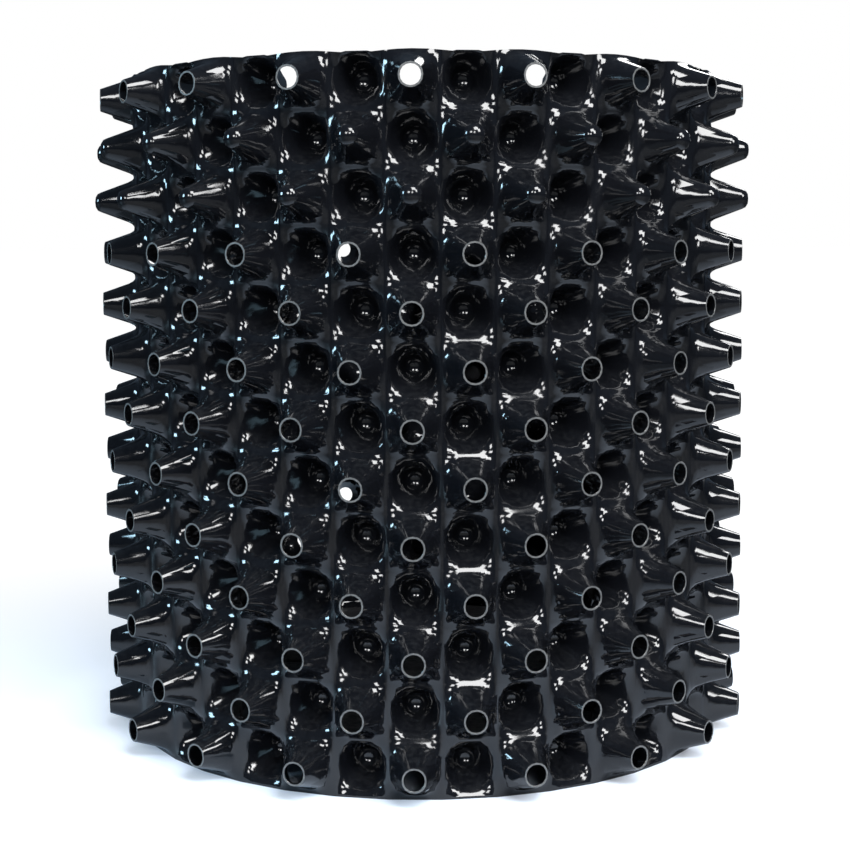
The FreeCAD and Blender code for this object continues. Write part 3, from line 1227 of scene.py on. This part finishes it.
@dataclass
class SeamFasteners:
    """Three bolts through the lapped column of studs, each with a wing nut outside.

    A wing starts as a block at wing_root, past the hub's axis and over its seat, and grows
    outward by wing_steps: each step's way out, its rise and how much the wing grows in it.
    """

    lattice: Lattice
    rows: tuple[int, ...] = (0, 6, 12)
    head_reach: float = 143.14
    head_radius: float = 4.8
    head_height: float = 2.2
    head_dome: tuple[tuple[float, float], ...] = ((0.55, -0.5), (0.85, -0.2), (1.0, 0.5))
    head_edge: float = 0.2
    neck: float = 0.3
    bolt_sides: int = 20
    shank_radius: float = 3.05
    shank_end: float = 158.5
    thread_pitch: float = 1.0
    thread_depth: float = 0.4
    seat: float = 152.013
    hub_foot: float = 5.9
    hub_top: float = 4.9
    hub_height: float = 5.0
    hub_straight: float = 1.6
    foot_edge: float = 0.4
    top_edge: float = 0.5
    hub_sides: int = 24
    bore_edge: float = 0.3
    bore_play: float = 0.25
    bore_depth: float = 0.8
    wing_thick: float = 2.4
    wing_root: tuple[float, float] = (4.4, 3.0)
    root_size: tuple[float, float] = (2.4, 3.4)
    wing_steps: tuple[tuple[float, float, float], ...] = (
        (2.6, 1.7, 1.0), (2.4, 1.8, 1.06), (1.4, 1.3, 0.86))
    wing_edge: float = 0.6
    wing_angle: float = 50.0
    smooth_angle: float = 38.0

    def turned(self, rings: Sequence[Ring], sides: int, name: str) -> bpy.types.Object:
        """Models a turned solid from its rings, closed at both ends.

        Args:
            rings: Radius and height of each ring, from the bottom up.
            sides: Sides of each ring.
            name: Name of the solid.

        Returns:
            The solid.
        """
        solid = start_ring(rings[0], sides, name, "NGON")
        raise_rings(rings)
        turn_outward()
        return solid

    def make_bolt(self) -> bpy.types.Object:
        """Models one bolt along Z, its heights counted from the pot's axis.

        Returns:
            The bolt.
        """
        head, top = self.head_reach, self.head_reach + self.head_height
        rings = [(self.head_radius * share, head + rise) for share, rise in self.head_dome]
        rings += [(self.head_radius, top - self.head_edge),
                  (self.head_radius - self.head_edge, top),
                  (self.shank_radius + self.neck, top), (self.shank_radius, top + self.neck)]
        level = self.seat - self.thread_pitch
        root = self.shank_radius - self.thread_depth
        while level + self.thread_pitch < self.shank_end - self.thread_pitch / 2:
            rings += [(self.shank_radius, level), (root, level + self.thread_pitch / 2)]
            level += self.thread_pitch
        rings += [(self.shank_radius, level), (root, self.shank_end)]
        return self.turned(rings, self.bolt_sides, "bolt")

    def make_nut(self) -> bpy.types.Object:
        """Models one wing nut along Z, its heights counted from the pot's axis.

        Returns:
            The nut.
        """
        seat, top = self.seat, self.seat + self.hub_height
        bore = self.shank_radius + self.bore_play
        hub = self.turned([
            (self.hub_foot - self.foot_edge, seat), (self.hub_foot, seat + self.foot_edge),
            (self.hub_foot, seat + self.hub_straight), (self.hub_top, top - self.top_edge),
            (self.hub_top - self.top_edge, top), (bore + self.bore_edge, top),
            (bore, top - self.bore_edge), (bore, top - self.bore_depth)], self.hub_sides, "hub")
        clear_selection()
        place, height = self.wing_root
        bpy.ops.mesh.primitive_cube_add(size=1.0, location=(place * MM, 0, (seat + height) * MM))
        wing = bpy.context.object
        wing.scale = (self.root_size[0] * MM, self.wing_thick * MM, self.root_size[1] * MM)
        settle(wing)
        open_editing(wing, "FACE")
        end = place + self.root_size[0] / 2
        for step, rise, grow in self.wing_steps:
            pick_vertices(wing, lambda at, end=end: at.x > end - ROOM)
            extrude((step, 0, rise))
            bpy.ops.transform.resize(value=(1.0, grow, grow))
            end += step
        turn_outward()
        apply_modifier(wing, "BEVEL", width=self.wing_edge * MM, segments=2, limit_method="ANGLE",
                       angle_limit=math.radians(self.wing_angle))
        apply_modifier(wing, "SUBSURF", levels=1, render_levels=1)
        other = place_copy(wing, Matrix.Rotation(math.pi, 4, "Z"))
        return join([hub, wing, other], "wing_nut")

    def set_down_seam(self, master: bpy.types.Object, name: str) -> bpy.types.Object:
        """Copies a fastener to each bolted row of the lap.

        Args:
            master: The fastener, which is removed.
            name: Name of the joined copies.

        Returns:
            The copies, joined into one object.
        """
        copies = []
        for row in self.rows:
            stand = self.lattice.stand(self.lattice.seam, row)
            inward = Matrix.Translation((0, 0, -self.lattice.chord_radius * MM))
            copies.append(place_copy(master, stand @ inward))
        bpy.data.objects.remove(master)
        return join(copies, name)

    def build(self) -> tuple[bpy.types.Object, bpy.types.Object]:
        """Builds the bolts and the nuts.

        Returns:
            The three bolts and the three nuts.
        """
        bolts = self.set_down_seam(self.make_bolt(), "seam_bolt_set")
        nuts = self.set_down_seam(self.make_nut(), "wing_nut_set")
        for piece in (bolts, nuts):
            smooth(piece, self.smooth_angle)
        return bolts, nuts

    def dress(self, bolts: bpy.types.Object, nuts: bpy.types.Object,
              plastic: bpy.types.Material) -> None:
        """Gives the bolts and nuts their plastic and their places in the part.

        Args:
            bolts: The three bolts.
            nuts: The three wing nuts.
            plastic: Their plastic.
        """
        for piece, node in ((bolts, "seam_bolts"), (nuts, "wing_nuts")):
            give_plastic(piece, plastic)
            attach(piece, "root")
            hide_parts(node)


@dataclass(frozen=True)
class SoftBox:
    """One studio lamp: where it stands, what it looks at, its size and its light."""

    name: str
    place: tuple[float, float, float]
    width: float
    height: float
    power: float
    colour: Colour = (1.0, 1.0, 1.0)


@dataclass
class Studio:
    """The pale floor, the white surroundings, the lamps and the camera.

    The floor's colour is a painted pool of light: pale near the pot and dark over the pool's two
    distances from the axis, so its reflection in the wall stays small. To the camera it grows
    white over the glow's, and it stays unlit inside the pot, up to the inside's.
    """

    aim: tuple[float, float, float] = (0.0, 0.0, 0.15)
    floor_size: float = 60.0
    floor_near: tuple[float, ...] = (0.60, 0.68, 0.80, 1.0)
    floor_far: tuple[float, ...] = (0.05, 0.055, 0.06, 1.0)
    pool: Span = (0.18, 0.42)
    glow: Span = (0.2, 0.45)
    glow_near: float = 0.42
    inside: Span = (0.125, 0.15)
    dim_world: tuple[float, ...] = (0.045, 0.062, 0.085, 1.0)
    camera_distance: float = 0.8007
    camera_turn: float = 0.029
    camera_height: float = 0.2262
    camera_pitch: float = 3.50
    camera_roll: float = -0.280
    lens: float = 71.47
    shift: tuple[float, float] = (0.0024, -0.10)
    lamps: tuple[SoftBox, ...] = (
        SoftBox("high_right", (1.26, -1.18, 1.15), 0.54, 0.66, 23.0),
        SoftBox("high_middle", (0.58, -1.20, 1.67), 0.92, 0.86, 51.0),
        SoftBox("front_right", (0.32, -1.86, 0.79), 0.38, 0.38, 9.0),
        SoftBox("front_left", (-0.56, -1.78, 0.85), 0.50, 0.38, 12.5),
        SoftBox("cool_left", (-1.84, -0.58, 0.67), 0.50, 0.52, 28.0, (0.50, 0.80, 1.0)),
        SoftBox("behind", (0.90, 2.10, 1.50), 1.10, 0.90, 26.0),
    )

    def add_floor(self) -> None:
        """Lays the floor with its painted pool of light, which the camera sees white away from the
        pot's shadow.
        """
        clear_selection()
        bpy.ops.mesh.primitive_plane_add(size=self.floor_size, location=(0, 0, 0))
        floor = bpy.context.object
        floor.name = floor.data.name = "floor"
        material = bpy.data.materials.new("pale_floor")
        material.use_nodes = True
        tree = material.node_tree
        shader = tree.nodes["Principled BSDF"]
        shader.inputs["Roughness"].default_value = 0.6
        away = add_node(tree, "ShaderNodeVectorMath", {"operation": "LENGTH"},
                        {0: object_place(tree)}).outputs["Value"]
        # Painted pool of light: the floor's colour goes from pale near the pot to near black far
        # off, standing in for lamp light falling off.
        painted_light_pool = blend(tree, remap(tree, away, self.pool), self.floor_near, self.floor_far)
        seen = calculate(tree, "MULTIPLY", camera_ray(tree), remap(tree, away, self.inside))
        lifted = calculate(tree, "MULTIPLY", seen,
                           remap(tree, away, self.glow, (self.glow_near, 1.0)))
        glow = add_node(tree, "ShaderNodeEmission",
                        inputs={"Color": (1.0, 1.0, 1.0, 1.0), "Strength": lifted})
        both = add_node(tree, "ShaderNodeAddShader",
                        inputs={0: shader.outputs["BSDF"], 1: glow.outputs["Emission"]})
        tree.links.new(painted_light_pool, shader.inputs["Base Color"])
        tree.links.new(both.outputs[0], tree.nodes["Material Output"].inputs["Surface"])
        floor.data.materials.append(material)

    def add_world(self) -> None:
        """Makes the surroundings white to the camera and dim to the pot."""
        world = bpy.data.worlds.new("studio")
        bpy.context.scene.world = world
        world.use_nodes = True
        tree = world.node_tree
        shade = tree.nodes["Background"]
        seen = blend(tree, camera_ray(tree), self.dim_world, (1.0, 1.0, 1.0, 1.0))
        tree.links.new(seen, shade.inputs["Color"])

    def add_lamps(self) -> None:
        """Hangs the lamps, each turned to the pot's middle."""
        for lamp in self.lamps:
            data = bpy.data.lights.new(lamp.name, "AREA")
            data.shape = "RECTANGLE"
            data.size, data.size_y = lamp.width, lamp.height
            data.energy = lamp.power
            data.color = lamp.colour
            item = bpy.data.objects.new(lamp.name, data)
            item.location = lamp.place
            look = Vector(self.aim) - Vector(lamp.place)
            item.rotation_euler = look.to_track_quat("-Z", "Y").to_euler()
            bpy.context.collection.objects.link(item)

    def add_camera(self) -> None:
        """Sets the camera at the photograph's angle."""
        data = bpy.data.cameras.new("view")
        data.lens = self.lens
        data.shift_x, data.shift_y = self.shift
        data.sensor_width = 36.0
        data.clip_start, data.clip_end = 0.05, 100.0
        camera = bpy.data.objects.new("view", data)
        turn = self.camera_turn
        camera.location = (self.camera_distance * math.sin(turn),
                           -self.camera_distance * math.cos(turn), self.camera_height)
        level = Euler((math.radians(90 - self.camera_pitch), 0, turn), "XYZ").to_matrix()
        roll = Matrix.Rotation(math.radians(self.camera_roll), 3, "Z")
        camera.rotation_euler = (level @ roll).to_euler()
        bpy.context.collection.objects.link(camera)
        bpy.context.scene.camera = camera

    def build(self) -> None:
        """Sets up the whole studio."""
        self.add_floor()
        self.add_world()
        self.add_lamps()
        self.add_camera()
        bpy.context.scene.view_settings.view_transform = "Standard"


def report_piece(piece: bpy.types.Object) -> None:
    """Logs one finished piece with its triangles and its size.

    Args:
        piece: The piece.
    """
    triangles = sum(len(face.vertices) - 2 for face in piece.data.polygons)
    low, high = ([round(end(corner[axis] for corner in piece.bound_box) / MM, 1)
                  for axis in range(3)] for end in (min, max))
    LOG.info("%s: %d triangles, %s to %s mm", piece.name, triangles, low, high)


def main() -> None:
    logging.basicConfig(level=logging.INFO, format="%(name)s %(message)s", stream=sys.stdout)
    studio = Studio()
    studio.build()
    effects = PlasticEffects()
    lattice = Lattice()
    wall_maker = StudWall(lattice)
    wall = wall_maker.build()
    wall_maker.dress(wall, effects.make(SHEET_PLASTIC))
    plate_maker = BasePlate()
    plate = plate_maker.build()
    plate_maker.dress(plate, effects.make(PLATE_PLASTIC))
    fastener_maker = SeamFasteners(lattice)
    bolts, nuts = fastener_maker.build()
    fastener_maker.dress(bolts, nuts, effects.make(FASTENER_PLASTIC))
    for piece in (wall, plate, bolts, nuts):
        report_piece(piece)


if __name__ == "__main__":
    main()
